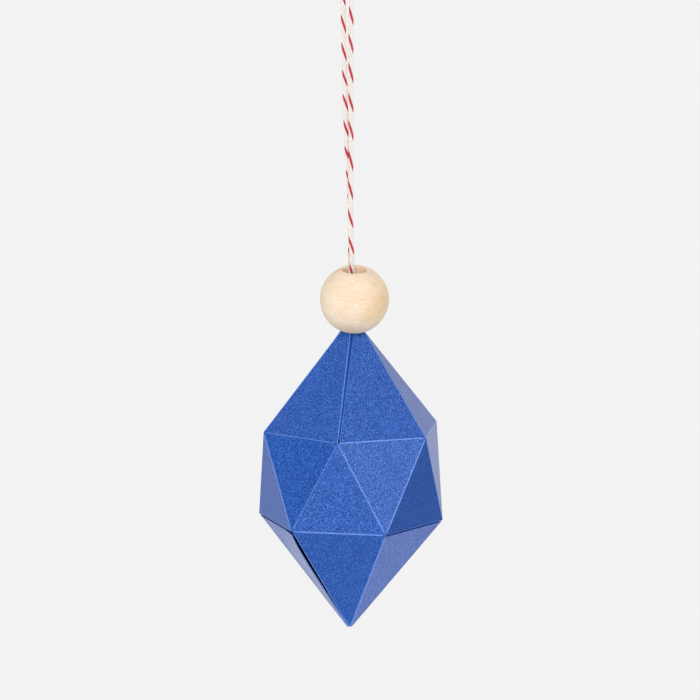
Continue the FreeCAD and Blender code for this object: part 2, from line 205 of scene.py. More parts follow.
def dyed_card(card):
    """Dyed card, rolled matt: short fibres mottle it, stretched fibres whiten its folds, and some faces carry
    painted shade or painted light.
    """
    material, tree, shader = blank_material("dyed_matt_card")
    place = add_node(tree, "ShaderNodeTexCoord").outputs["Object"]
    tone, near, wear = (
        add_node(tree, "ShaderNodeAttribute", attribute_name=name).outputs["Fac"]
        for name in ("tone", "fold_distance", "fold_wear"))

    # Three noises, each by the width of its features in millimetres, its detail and its roughness
    fibres, clouds, scuffs = (
        add_node(tree, "ShaderNodeTexNoise", {
            "Vector": place, "Scale": per_metre(width), "Detail": detail, "Roughness": rough}).outputs["Fac"]
        for width, detail, rough in ((0.3, 3.0, 0.65), (7.0, 2.0, 0.5), (0.8, 2.0, 0.6)))
    mottle = add_node(tree, "ShaderNodeValToRGB", {"Fac": fibres}, stops=[
        (0.37, card.blue_deep), (0.5, card.blue), (0.63, card.blue_light)])

    # Each face's tone: painted shade or painted light on the panels listed in the shading table, a small
    # random stray on the rest; lighter faces are painted less saturated
    drift = add_node(tree, "ShaderNodeMapRange", {
        "Value": clouds, "From Min": 0.3, "From Max": 0.7, "To Min": 0.95, "To Max": 1.05})
    shade = add_node(tree, "ShaderNodeMath", {0: tone, 1: drift}, operation="MULTIPLY")
    dulled = add_node(tree, "ShaderNodeMapRange", {
        "Value": tone, "From Min": 0.9, "From Max": 1.1, "To Min": 1.06, "To Max": 0.94}, clamp=False)
    cloudy = add_node(tree, "ShaderNodeHueSaturation", {
        "Saturation": dulled, "Value": shade, "Color": mottle})

    # A fold is rubbed over about 0.2 mm each side of its line, and the rubbing comes and goes along it
    reach = add_node(tree, "ShaderNodeMapRange", {
        "Value": scuffs, "From Min": 0.3, "From Max": 0.7, "To Min": 0.16, "To Max": 0.3})
    rubbed = add_node(tree, "ShaderNodeMapRange", {
        "Value": near, "From Min": 0.02, "From Max": reach, "To Min": 1.0, "To Max": 0.0},
        interpolation_type="SMOOTHSTEP")
    worn = add_node(tree, "ShaderNodeMath", {0: rubbed, 1: wear}, operation="MULTIPLY")
    off_fold, on_fold, mixed = 6, 7, 2      # a colour mix has its colours in these inputs and this output
    finish = add_node(tree, "ShaderNodeMix", {
        0: worn, off_fold: cloudy, on_fold: card.fold_light}, data_type="RGBA")
    relief = add_node(tree, "ShaderNodeBump", {"Height": fibres, "Strength": 0.5, "Distance": 0.06 * MM})
    fill(tree, shader, {
        "Base Color": finish.outputs[mixed], "Normal": relief, "Roughness": 0.5, "IOR": 1.5,
        "Specular IOR Level": 0.2, "Sheen Weight": 0.42, "Sheen Roughness": 0.3})
    return material


def open_felt(name, width, detail, stops, roughness):
    """Card whose felt of fibres isn't rolled smooth: two blues in flecks this wide, with hardly a shine."""
    material, tree, shader = blank_material(name)
    place = add_node(tree, "ShaderNodeTexCoord").outputs["Object"]
    felt = add_node(tree, "ShaderNodeTexNoise", {
        "Vector": place, "Scale": per_metre(width), "Detail": detail})
    shade = add_node(tree, "ShaderNodeValToRGB", {"Fac": felt}, stops=stops)
    fill(tree, shader, {"Base Color": shade, "Roughness": roughness, "Specular IOR Level": 0.1})
    return material


def turned_wood(bead, name, bored):
    """Bare light hardwood, turned and sanded: fine rays and faint growth rings, with a soft dry sheen. In the
    bore its colours are painted near white, a painted light.
    """
    material, tree, shader = blank_material(name)
    place = add_node(tree, "ShaderNodeTexCoord").outputs["Object"]
    grain_place = add_node(tree, "ShaderNodeMapping", {
        "Vector": place, "Rotation": (0.0, 0.12, 0.3), "Scale": (0.14, 1.0, 1.0)})
    rings = add_node(tree, "ShaderNodeTexNoise", {
        "Vector": grain_place, "Scale": per_metre(3.2), "Detail": 4.0, "Roughness": 0.6, "Distortion": 0.4})
    pores = add_node(tree, "ShaderNodeTexNoise", {
        "Vector": grain_place, "Scale": per_metre(0.35), "Detail": 2.0, "Roughness": 0.6})
    grain = add_node(tree, "ShaderNodeMath", {0: rings, 1: 0.6, 2: pores}, operation="MULTIPLY_ADD")
    patches = add_node(tree, "ShaderNodeTexNoise", {"Vector": place, "Scale": per_metre(7.0), "Detail": 2.0})
    mottle = add_node(tree, "ShaderNodeMath", {0: patches, 1: 0.8, 2: grain}, operation="MULTIPLY_ADD")

    # One side of the ball lies closer to the heart of the tree and is browner
    low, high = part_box("wood_bead")
    heart = (low + high) / 2 + Vector((9.0, -4.0, -1.5)) * MM
    away = add_node(tree, "ShaderNodeVectorMath", {0: place, 1: heart}, operation="DISTANCE")
    browner = add_node(tree, "ShaderNodeMapRange", {
        "Value": away.outputs["Value"], "From Max": 9.0 * MM, "To Min": 0.45, "To Max": 0.0},
        interpolation_type="SMOOTHSTEP")
    depth = add_node(tree, "ShaderNodeMath", {0: mottle, 1: browner})
    span = add_node(tree, "ShaderNodeMapRange", {"Value": depth, "From Min": 0.9, "From Max": 1.7})
    # In the bore the wood's colours are raised near white: painted light for the light that reaches its far
    # wall
    pale, dark = (bead.bore_wood_painted_light, bead.bore_grain_painted_light) if bored else (bead.early, bead.late)
    shade = add_node(tree, "ShaderNodeValToRGB", {"Fac": span}, stops=[(0.0, pale), (1.0, dark)])
    relief = add_node(tree, "ShaderNodeBump", {"Height": pores, "Strength": 0.15, "Distance": 0.03 * MM})
    fill(tree, shader, {
        "Base Color": shade, "Normal": relief, "Roughness": 0.6, "IOR": 1.5,
        "Subsurface Weight": 0.25, "Subsurface Radius": (2.0, 1.2, 0.7), "Subsurface Scale": 1.0 * MM})
    return material


def spun_cotton(shade, name):
    """Spun cotton ply: dull, soft and slightly hairy, with fine yarns that wind along it."""
    material, tree, shader = blank_material(name)
    around = add_node(tree, "ShaderNodeUVMap", uv_map="lay").outputs["UV"]
    slant = add_node(tree, "ShaderNodeMapping", {"Vector": around, "Scale": (6.0, 1.2, 1.0)})
    yarns = add_node(tree, "ShaderNodeTexNoise", {
        "Vector": slant, "Scale": 1.0, "Detail": 2.0, "Roughness": 0.6})
    tone = add_node(tree, "ShaderNodeMapRange", {
        "Value": yarns, "From Min": 0.3, "From Max": 0.7, "To Min": 0.82, "To Max": 1.05})
    dyed = add_node(tree, "ShaderNodeHueSaturation", {"Value": tone, "Color": shade})
    relief = add_node(tree, "ShaderNodeBump", {"Height": yarns, "Strength": 0.5, "Distance": 0.05 * MM})
    fill(tree, shader, {"Base Color": dyed, "Normal": relief, "Roughness": 0.85, "Sheen Weight": 0.3})
    return material


def placed(name, data):
    """New object in the scene."""
    made = bpy.data.objects.new(name, data)
    bpy.context.scene.collection.objects.link(made)
    return made


def finished_mesh(name, shape):
    """Mesh of a shape that is done with."""
    mesh = bpy.data.meshes.new(name)
    shape.to_mesh(mesh)
    shape.free()
    return mesh


def new_piece(name, mesh, materials, node):
    """Object for a finished mesh, in the place of a CAD node."""
    piece = placed(name, mesh)
    for material in materials:
        mesh.materials.append(material)
    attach(piece, "root")
    if node:
        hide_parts(node)
    return piece


# Card

class Edge:
    """A line between two corners of the gem, with the places along it where meshes have their points."""

    def __init__(self, points, first, second):
        self.first = first
        self.second = second
        self.start = points[first]
        self.length = (points[second] - self.start).length
        self.along = (points[second] - self.start) / self.length
        near = [place * MM for place in END_PLACES]
        step = 0.9 * MM
        count = ceil((self.length - 2 * near[-1]) / step)
        inner = [near[-1] + (self.length - 2 * near[-1]) * index / count for index in range(1, count)]
        self.places = near + inner + [self.length - place for place in reversed(near)]


class Side:
    """One side of a panel: its edge, walked from the panel's own corner, and how the card ends there."""

    def __init__(self, edge, first, other, normal):
        self.edge = edge
        self.forward = edge.first == first
        middle = edge.start + edge.along * (edge.length / 2)
        self.inward = normal.cross(edge.along)
        if self.inward.dot(other - middle) < 0:
            self.inward = -self.inward
        self.kind = "fold"
        self.trim = (0.0, 0.0)

    def distance(self, point):
        """How far a point of the panel is from this side, and how far along it."""
        offset = point - self.edge.start
        along = offset.dot(self.edge.along)
        return offset.dot(self.inward) - self.trimmed(along), along

    def trimmed(self, place):
        """How far the panel's side is set back from the edge line at this place along it."""
        share = place / self.edge.length
        return self.trim[0] * (1 - share) + self.trim[1] * share

    def spot(self, place, row=0.0):
        """Point of the panel at a place along this side, or that far inwards from it."""
        return self.edge.start + self.edge.along * place + self.inward * (self.trimmed(place) + row)


def gem_corners(card):
    """The corners of both rings, the apex and the foot."""
    upper = -card.hang_drop - card.top_height
    lower = upper - card.band_height
    points = {"T": Vector((0, 0, -card.hang_drop)), "B": Vector((0, 0, lower - card.bottom_height))}
    for index in range(SIDES):
        for letter, shift, level in (("U", 0, upper), ("L", -0.5, lower)):
            turn = FRONT + (index + shift) * SIDE_TURN
            across, away = card.ring_radius * cos(turn), card.ring_radius * sin(turn)
            points[f"{letter}{index}"] = Vector((across, away, level))
    return points


# Corners of the panels: six upper flaps, the band of twelve and the lower fan of six
PANELS = []
for number in range(SIDES):
    beside = (number + 1) % SIDES
    PANELS += [
        (f"U{number}", f"U{beside}", "T"), (f"U{number}", f"U{beside}", f"L{beside}"),
        (f"L{number}", f"L{beside}", f"U{number}"), (f"L{number}", f"L{beside}", "B"),
    ]

# The seam that has sprung open, and the lower flap that curls up over it
OPEN_SEAM = ("L0", "B")
OPEN_FLAP = ("L5", "L0", "B")

# How far a tab's fold is set back from its seam's line at both ends, in millimetres: one seam, then the rest
UPPER_SETS = {0: (0.5, 1.1)}
UPPER_SET = (0.12, 0.2)
RING_SETS = {5: (0.9, 0.9)}
RING_SET = (0.7, 0.6)

# How far the ring seams gape, in millimetres, at both ends of a seam: most beside the open seam
GAPES = {1: (0.9, 0.5), 5: (0.9, 1.5)}
GAPE = (0.2, 0.2)
CLOSED = (0.0, 0.0)

# How far the panel on top stands out over a seam's upper end, in millimetres: it was folded a little askew
OVERHANGS = {("U1", "T"): 1.0, ("U4", "T"): 0.4}

# How plainly a fold is rubbed pale, and over how many times the usual width. The folds not named are alike
FOLD_LOOK = {
    ("U5", "U0"): (0.4, 1.1), ("U0", "U1"): (0.85, 1.2), ("U0", "L0"): (0.35, 1.2), ("U0", "L1"): (0.6, 1.6),
    ("U1", "L1"): (0.95, 1.4), ("L0", "L1"): (0.8, 1.5), ("U5", "L0"): (0.85, 1.4), ("L1", "B"): (0.6, 1.8),
    ("U1", "L2"): (0.3, 1.0), ("L0", "B"): (1.0, 1.6),
}
PLAIN_LOOK = (0.7, 1.1)
TAB_LOOK = (0.25, 1.1)
UPPER_CUT, LOWER_CUT = 0.8, 0.4         # how pale the rim of a cut edge is

# Painted shade and painted light on single panels, against the card's own tone, for how the light falls on
# them. The others stray at random by up to this much
PAINTED_PANEL_SHADING = {
    ("L1", "L2", "U1"): 0.74, ("U0", "U1", "L1"): 1.08, ("U5", "U0", "L0"): 0.94, ("L0", "L1", "B"): 0.94,
    ("L1", "L2", "B"): 1.1, ("L5", "L0", "U5"): 0.94, ("L3", "L4", "B"): 1.1,
}
TONE_STRAY = 0.03

# Places of mesh points, in millimetres: along an edge from its ends, inwards from a side, out along a tab
END_PLACES = (0.1, 0.25, 0.45, 0.8, 1.5)
SIDE_ROWS = (0.07, 0.14, 0.22, 0.34, 0.6, 1.1)
TAB_ROWS = (0.0, 0.1, 0.2, 0.32, 0.5, 1.0, 2.0, 3.5, 5.0)
TOUCH = 1e-6                            # metres under which a point counts as on a line
TAB_MATERIAL, RIM_OFFSET = 2, 1         # the tabs' material, and how far after a face's own its rim's comes


def gem_seams():
    """Each seam: its line, the corner of the panel on top, the corner of the panel with the tab, how far that
    panel's fold is set back, where its tab starts and ends in millimetres, and how far it gapes."""
    ring, tip = (1.5, 4.0), (4.0, 6.0)
    seams = {}
    for index in range(SIDES):
        before, after = (index - 1) % SIDES, (index + 1) % SIDES
        seams[f"U{index}", "T"] = (
            f"U{before}", f"U{after}", UPPER_SETS.get(index, UPPER_SET), (ring, tip), CLOSED)
        if index > 0:
            seams[f"L{index}", f"L{after}"] = (
                f"U{index}", "B", RING_SETS.get(index, RING_SET), (ring, ring), GAPES.get(index, GAPE))
    seams["L3", "U3"] = ("L4", "U2", (0.15, 0.15), (ring, ring), CLOSED)
    seams[OPEN_SEAM] = ("L5", "L1", (0.2, 0.2), (ring, tip), CLOSED)
    return seams


class CardSheet:
    """Collects the outside face of the folded sheet, panel by panel."""

    def __init__(self, card):
        self.card = card
        self.cuts = {"T": card.apex_cut, "B": card.tip_cut}
        self.points = gem_corners(card)
        self.seams = gem_seams()
        self.edges = {}
        self.mesh = bmesh.new()
        self.fold_distance = self.mesh.verts.layers.float.new("fold_distance")
        self.fold_wear = self.mesh.verts.layers.float.new("fold_wear")
        self.tone = self.mesh.faces.layers.float.new("tone")
        self.rng = random.Random(SEED)
        middle = (self.points["U0"].z + self.points["L0"].z) / 2
        self.middle = Vector((0, 0, middle))

    def normal(self, names):
        """Unit normal of a panel, pointing out of the gem."""
        first, second, third = (self.points[name] for name in names)
        found = (second - first).cross(third - first).normalized()
        return found if found.dot(first - self.middle) > 0 else -found

    def edge(self, first, second):
        """The edge between two corners, made once for both of its panels."""
        key = frozenset((first, second))
        if key not in self.edges:
            turned = (second, first) in self.seams
            self.edges[key] = Edge(self.points, second, first) if turned else Edge(self.points, first, second)
        return self.edges[key]

    def sides(self, names):
        """The three sides of a panel."""
        normal = self.normal(names)
        found = []
        for index in range(3):
            first, second, other = (names[(index + turn) % 3] for turn in range(3))
            side = Side(self.edge(first, second), first, self.points[other], normal)
            pair = (side.edge.first, side.edge.second)
            if pair in self.seams:
                over, _under, trim, *_tab = self.seams[pair]
                if over == other:
                    side.kind, trim = "cut", (0.0, -OVERHANGS.get(pair, 0.0))
                else:
                    side.kind = "tab"
                side.trim = tuple(width * MM for width in trim)
            side.neighbour = self.other_panel(names, (first, second))
            side.half_fold = normal.angle(self.normal(side.neighbour)) / 2
            found.append(side)
        return normal, found

    def other_panel(self, names, pair):
        """The panel across an edge."""
        return next(panel for panel in PANELS if set(pair) <= set(panel) and set(panel) != set(names))

    def clearance(self, corner, side):
        """How far from a corner a panel's side starts, so that a set-back neighbour side doesn't cross it."""
        return self.cuts[corner] if corner in self.cuts else side.reach[corner]

    def panel(self, names):
        """Meshes one panel with rows of points close to its sides."""
        corner_gap, tip_gap = 0.09 * MM, 0.2 * MM
        normal, sides = self.sides(names)
        for index, side in enumerate(sides):
            after = (index + 1) % 3
            side.reach = {}
            for corner, beside in ((names[index], sides[index - 1]), (names[after], sides[after])):
                end = 0 if beside.edge.first == corner else 1
                turn = side.edge.along.angle(beside.edge.along)
                side.reach[corner] = corner_gap + beside.trim[end] / sin(turn)
        across = sides[0].edge.along if sides[0].forward else -sides[0].edge.along
        upwards = normal.cross(across)
        origin = self.points[names[0]]
        loop = []
        for side in sides:
            first, second = side.edge.first, side.edge.second
            low = self.clearance(first, side)
            high = side.edge.length - self.clearance(second, side)
            places = [place for place in side.edge.places if low <= place <= high]
            if second in self.cuts:
                places = [place for place in places if place < high - tip_gap] + [high]
            if first in self.cuts:
                places = [low] + [place for place in places if place > low + tip_gap]
            spots = [side.spot(place) for place in places]
            side.places = places
            loop += spots if side.forward else spots[::-1]

        # Rows of points beside the sides, then an even grid of triangles over the rest
        inside = []
        slack = 1.02
        for side in sides:
            for row in SIDE_ROWS:
                for place in side.places[1:-1]:
                    spot = side.spot(place, row * MM)
                    if self.room(spot, sides, side, names) > row * MM * slack:
                        inside.append(spot)
        step, row_height, border = 2.0 * MM, 0.866, 1.7 * MM
        rows, columns, columns_before = 40, 40, 8
        for row in range(rows):
            for column in range(columns):
                run = (column - columns_before + row % 2 / 2) * step
                spot = origin + across * run + upwards * (row * step * row_height)
                if self.room(spot, sides, None, names) > border:
                    inside.append(spot)
        offsets = [spot - origin for spot in loop + inside]
        flat = [Vector((offset.dot(across), offset.dot(upwards))) / MM for offset in offsets]
        keep_inside, merged = 1, 1e-5
        spots, _edges, faces, *_origins = geometry.delaunay_2d_cdt(
            flat, [], [list(range(len(loop)))], keep_inside, merged)
        made = []
        for spot in spots:
            point = origin + across * (spot.x * MM) + upwards * (spot.y * MM)
            made.append(self.vertex(point, normal, sides, names))
        # Painted shade or painted light on the listed panels, a random stray on the others
        tone = PAINTED_PANEL_SHADING.get(names, self.rng.uniform(1 - TONE_STRAY, 1 + TONE_STRAY))
        for face in faces:
            self.mesh.faces.new([made[index] for index in face])[self.tone] = tone
        for side in sides:
            if side.kind == "tab":
                self.tab(side, normal)

    def room(self, spot, sides, own, names):
        """Distance from a point to the nearest other side of its panel, or to the blunt end of its tip."""
        least = min(side.distance(spot)[0] for side in sides if side is not own)
        for tip, cut in self.cuts.items():
            if tip in names:
                edge = self.points["U0" if tip == "T" else "L0"]
                drop = abs(self.points[tip].z - edge.z) * cut / (self.points[tip] - edge).length
                least = min(least, abs(self.points[tip].z - spot.z) - drop)
        return least

    def vertex(self, point, normal, sides, names):
        """Adds a point of a panel, bent to its folds and lifted where the open edge curls up."""
        shift = Vector()
        nearest, wear = inf, 0.0
        on_line = [side for side in sides if side.kind != "cut" and side.distance(point)[0] < TOUCH]
        for side in sides:
            inward, along = side.distance(point)
            if side.kind == "cut":
                if names == OPEN_FLAP:
                    shift += normal * self.curl(side, inward, along)
                if inward / MM < nearest:
                    nearest, wear = inward / MM, UPPER_CUT if "T" in names else LOWER_CUT
                continue
            if not on_line or side in on_line:
                shift += self.rounding(side, inward, normal)
            scaled = inward / MM / self.look(side)[1]
            if scaled < nearest:
                nearest = scaled
                wear = self.wear(side, along)
        vertex = self.mesh.verts.new(point + shift)
        vertex[self.fold_distance] = max(0.0, nearest)
        vertex[self.fold_wear] = wear
        return vertex

    def wear(self, side, along):
        """How plainly a fold is rubbed at a place: it fades close to both corners."""
        end = min(along, side.edge.length - along) / MM
        bare, fade = 0.3, 1.2
        return self.look(side)[0] * min(1.0, max(0.0, (end - bare) / fade))

    def look(self, side):
        """How plainly and how widely a fold is rubbed."""
        pair = (side.edge.first, side.edge.second)
        plain = TAB_LOOK if side.kind == "tab" else PLAIN_LOOK
        return FOLD_LOOK.get(pair, FOLD_LOOK.get(pair[::-1], plain))

    def rounding(self, side, inward, normal):
        """How far the outside of a fold falls inside the sharp line."""
        radius = self.card.fold_radius
        reach = radius * tan(side.half_fold)
        if inward >= reach:
            return Vector()
        turn = (1 - max(0.0, inward) / reach) * side.half_fold
        bent = side.inward * (reach - radius * sin(turn)) - normal * (radius * (1 - cos(turn)))
        return bent - side.inward * inward

    def curl(self, side, inward, along):
        """How far the open seam's flap stands off: most near its upper end, along a cubic curve."""
        card = self.card
        share = 1 - card.tip_cut / side.edge.length
        steps = np.linspace(0, 1, 101)
        pull = 0.25
        places = share * (3 * (1 - steps) * steps ** 2 * pull + steps ** 3)
        lifts = card.lift * 3 * steps * (1 - steps)
        place = min(max(along / side.edge.length, 0.0), share)
        lift = float(np.interp(place, places, lifts))
        slant, fall = 0.95, 1.5
        width = card.lift_width * slant * (1 - place)
        across = min(1.0, max(0.0, inward / width))
        return lift * (1 - across) ** fall

    def tab(self, side, normal):
        """Glue tab under the neighbouring panel, folded from this panel's edge."""
        card = self.card
        over = self.normal(side.neighbour)
        edge = side.edge
        into = over.cross(edge.along)
        if into.dot(side.inward) > 0:
            into = -into
        _over, _under, _trim, (start_end, finish_end), gape = self.seams[edge.first, edge.second]
        if (edge.first, edge.second) == OPEN_SEAM:
            into, over = (into * cos(card.sprung) - over * sin(card.sprung),
                          over * cos(card.sprung) + into * sin(card.sprung))
        fold = 2 * side.half_fold
        low, high = start_end[0] * MM, edge.length - finish_end[0] * MM
        places = [place for place in side.places if low - TOUCH <= place <= high + TOUCH]
        step_down = 0.15 if any(gape) else 0.4
        least_gape = 0.01
        rows = []
        for row in (*TAB_ROWS, card.tab_width / MM):
            share = row * MM / card.tab_width
            first = low + start_end[1] * MM * share
            last = high - finish_end[1] * MM * share
            sunk = min(1.0, row / step_down)
            sunk *= sunk * (3 - 2 * sunk)
            line = []
            for place in places:
                at = first + (place - places[0]) / (places[-1] - places[0]) * (last - first)
                run = place / edge.length
                back = side.trimmed(place)
                start = edge.start + side.inward * back
                open_by = (least_gape + gape[0] * (1 - run) + gape[1] * run) * MM
                drop = card.thickness + open_by - back * sin(fold)
                if row == 0:
                    point = start + edge.along * place + self.rounding(side, 0.0, normal)
                else:
                    point = start + edge.along * at + into * (row * MM) - over * (sunk * drop)
                vertex = self.mesh.verts.new(point)
                vertex[self.fold_distance] = row
                vertex[self.fold_wear] = TAB_LOOK[0]
                line.append(vertex)
            rows.append(line)
        for line, after in zip(rows, rows[1:]):
            for index in range(len(line) - 1):
                corners = (line[index], line[index + 1], after[index + 1], after[index])
                facing = (corners[1].co - corners[0].co).cross(corners[3].co - corners[0].co)
                face = self.mesh.faces.new(corners if facing.dot(over) > 0 else corners[::-1])
                face[self.tone] = 1.0
                face.material_index = TAB_MATERIAL


def solid_sheet(mesh, thickness):
    """The sheet's outside face given its thickness inwards, with its rims in the cut edge's material."""
    holder = placed("sheet_holder", mesh)
    grow = holder.modifiers.new("thickness", "SOLIDIFY")
    grow.thickness = thickness
    grow.offset = -1
    grow.use_even_offset = False
    grow.material_offset_rim = RIM_OFFSET
    solid = bpy.data.meshes.new_from_object(holder.evaluated_get(bpy.context.evaluated_depsgraph_get()))
    bpy.data.objects.remove(holder)
    sharp = radians(45)
    solid.set_sharp_from_angle(angle=sharp)
    return solid


# Bead

def arc(middle, level, radius, start, end, steps):
    """Points of an arc as radius and height, but for its last."""
    turns = [start + (end - start) * step / steps for step in range(steps)]
    return [(middle + radius * cos(turn), level + radius * sin(turn)) for turn in turns]


def bead_profile(bead):
    """Half section of the bead as radius and height, from the bore's upper end round to its lower end."""
    ball = bead.diameter / 2
    middle = bead.bore / 2 + bead.mouth
    level = sqrt((ball - bead.mouth) ** 2 - middle ** 2)
    rim = atan2(level, middle)
    mouth_steps, ball_steps, wall_steps = 8, 90, 30
    outline = arc(middle, level, bead.mouth, pi, rim, mouth_steps)
    outline += arc(0, 0, ball, rim, -rim, ball_steps)
    outline += arc(middle, -level, bead.mouth, -rim, -pi, mouth_steps)
    outside = len(outline)
    outline += [(bead.bore / 2, -level + 2 * level * step / wall_steps) for step in range(wall_steps)]
    return outline, mouth_steps, outside


def bead_mesh(bead):
    """Turned ball with a bored hole: outside it has the tool's faint rings, its bore and rim are torn."""
    low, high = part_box("wood_bead")
    side = FRONT + bead.lean_side
    axis = Vector((cos(side) * sin(bead.lean), sin(side) * sin(bead.lean), cos(bead.lean)))
    lean = Vector((0, 0, 1)).rotation_difference(axis).to_matrix().to_4x4()
    place = Matrix.Translation((low + high) / 2) @ lean
    outline, mouth, outside = bead_profile(bead)
    around = 144
    torn_width, torn_depth = 0.7, 0.1 * MM
    ring_width, ring_depth = 0.6, 0.008 * MM
    shape = bmesh.new()
    rings = []
    for index, (radius, level) in enumerate(outline):
        ring = []
        for step in range(around):
            turn = 2 * pi * step / around
            spot = Vector((radius * cos(turn), radius * sin(turn), level))
            if index > outside or index < mouth:
                rough = noise.noise(spot * per_metre(torn_width)) * torn_depth
            else:
                rough = noise.noise(Vector((0, 0, level * per_metre(ring_width)))) * ring_depth
            spot *= 1 - rough / spot.length
            ring.append(shape.verts.new(place @ spot))
        rings.append(ring)
    for index, ring in enumerate(rings):
        below = rings[(index + 1) % len(rings)]
        for step in range(around):
            after = (step + 1) % around
            face = shape.faces.new((ring[step], below[step], below[after], ring[after]))
            face.smooth = True
            face.material_index = 1 if index >= outside else 0
    return finished_mesh("turned_bead", shape)


# Twine: the route's points are those of the part's source, in metres

TWINE_ROUTE = (
    (0, 0.00078, -0.1176), (0, 0.00078, -0.1138), (-0.00014, -0.00078, -0.1066),
    (-0.00041, -0.00223, -0.099), (-0.00025, -0.00206, -0.0885), (-0.0006, -0.0018, -0.079),
    (-0.00167, -0.00176, -0.066), (-0.00251, -0.00188, -0.045), (-0.00318, -0.00177, -0.024),
    (-0.0035, -0.00095, -0.0136), (-0.00366, -0.0003, -0.0066), (-0.00357, 0, -0.00265),
    (-0.00289, 0, -0.00055), (-0.0011, 0, 0.00075), (0.0011, 0, 0.00075),
    (0.00289, 0, -0.00055), (0.00357, 0, -0.00265), (0.00285, -0.0002, -0.0066),
    (0.00105, -0.00085, -0.0127), (-0.0009, -0.00162, -0.0215), (-0.00078, -0.00195, -0.04),
    (-0.00041, -0.00243, -0.061), (-0.00033, -0.00333, -0.075), (-0.00019, -0.00372, -0.087),
    (0.00047, -0.00362, -0.099), (0.00014, -0.0024, -0.1066), (0, -0.00087, -0.1138),
    (0, -0.00087, -0.1176),
)

# Distances along the twine, in millimetres, at which the red ply comes round to the front
LAY_MARKS = (
    22.3, 30.0, 37.7, 44.9, 51.8, 58.9, 66.8, 73.5, 81.0, 89.1,
    150.4, 158.2, 166.6, 175.3, 183.0, 191.9, 200.2, 208.6, 216.2, 224.4,
)
TO_FRONT = (0.141, -0.979, 0.150)       # direction from the twine to the camera


def smooth_line(route, step):
    """Evenly spaced points along the smooth spline of a route, and the distance of each along it."""
    curve = bpy.data.curves.new("route", "CURVE")
    curve.dimensions = "3D"
    curve.resolution_u = 32
    spline = curve.splines.new("NURBS")
    spline.points.add(len(route) - 1)
    for point, place in zip(spline.points, route):
        point.co = (*place, 1.0)
    spline.order_u = 3
    spline.use_endpoint_u = True
    holder = bpy.data.objects.new("route", curve)
    mesh = bpy.data.meshes.new_from_object(holder)
    line = np.array([vertex.co for vertex in mesh.vertices])
    bpy.data.objects.remove(holder)
    bpy.data.meshes.remove(mesh)
    gaps = np.linalg.norm(np.diff(line, axis=0), axis=1)
    run = np.concatenate(([0.0], np.cumsum(gaps)))
    count = max(2, round(run[-1] / step))
    along = np.linspace(0, run[-1], count + 1)
    return np.stack([np.interp(along, run, line[:, axis]) for axis in range(3)], axis=1), along


def carried_frames(line):
    """Two directions square to the line at each point, carried along it without twist."""
    tangents = np.gradient(line, axis=0)
    tangents /= np.linalg.norm(tangents, axis=1)[:, None]
    side = np.cross(tangents[0], (0.0, 1.0, 0.0))
    sides = []
    for tangent in tangents:
        side = side - tangent * (side @ tangent)
        side /= np.linalg.norm(side)
        sides.append(side)
    sides = np.array(sides)
    return sides, np.cross(tangents, sides)


def uneven_turns(line, along, lay):
    """Turns of the plies at each point: full turns from mark to mark, and one turn to a lay elsewhere."""
    sides, others = carried_frames(line)
    facing = np.unwrap(np.arctan2(others @ TO_FRONT, sides @ TO_FRONT)) / (2 * pi)
    marks = np.array(LAY_MARKS) * MM
    turns = -np.interp(marks, along, facing)
    for index in range(1, len(marks)):
        wanted = (marks[index] - marks[index - 1]) / lay
        gap = turns[index] - turns[index - 1]
        turns[index:] += round(wanted - gap)
    ends = (turns[0] - marks[0] / lay, turns[-1] + (along[-1] - marks[-1]) / lay)
    return np.interp(along, (0, *marks, along[-1]), (ends[0], *turns, ends[1]))


def twine_mesh(name, line, along, turns, diameter):
    """Four plies wound about a line. The first of them takes the second material."""
    shape = bmesh.new()
    lay_map = shape.loops.layers.uv.new("lay")
    plies, facets = 4, 10
    swell_share, swell_length, ply_shift = 0.05, 1.1, 9.0
    yarn_lay, uv_length = 2.4, 1.0
    ply_radius = diameter / 2 / (1 + sqrt(2))
    sides, others = carried_frames(line)
    for ply in range(plies):
        material = 1 if ply == 0 else 0
        turn = -2 * pi * (turns + ply / plies)
        offset = sides * np.cos(turn)[:, None] + others * np.sin(turn)[:, None]
        centre = line + offset * ply_radius * sqrt(2)
        across, up = carried_frames(centre)
        rings = []
        for index, spot in enumerate(centre):
            wave = Vector((along[index] * per_metre(swell_length), ply * ply_shift, 0))
            swell = 1 + swell_share * noise.noise(wave)
            ring = []
            for facet in range(facets):
                step = 2 * pi * facet / facets
                out = across[index] * cos(step) + up[index] * sin(step)
                ring.append(shape.verts.new(spot + out * ply_radius * swell))
            rings.append(ring)
        for index, (ring, ahead) in enumerate(zip(rings, rings[1:])):
            for facet in range(facets):
                after = (facet + 1) % facets
                face = shape.faces.new((ring[facet], ring[after], ahead[after], ahead[facet]))
                face.smooth = True
                face.material_index = material
                for corner, (step, row) in zip(face.loops, (
                        (facet, index), (facet + 1, index), (facet + 1, index + 1), (facet, index + 1))):
                    twist = along[row] * per_metre(yarn_lay)
                    corner[lay_map].uv = (step / facets + twist, along[row] * per_metre(uv_length))
        for ring in (rings[0][::-1], rings[-1]):
            shape.faces.new(ring).material_index = material
    return finished_mesh(name, shape)


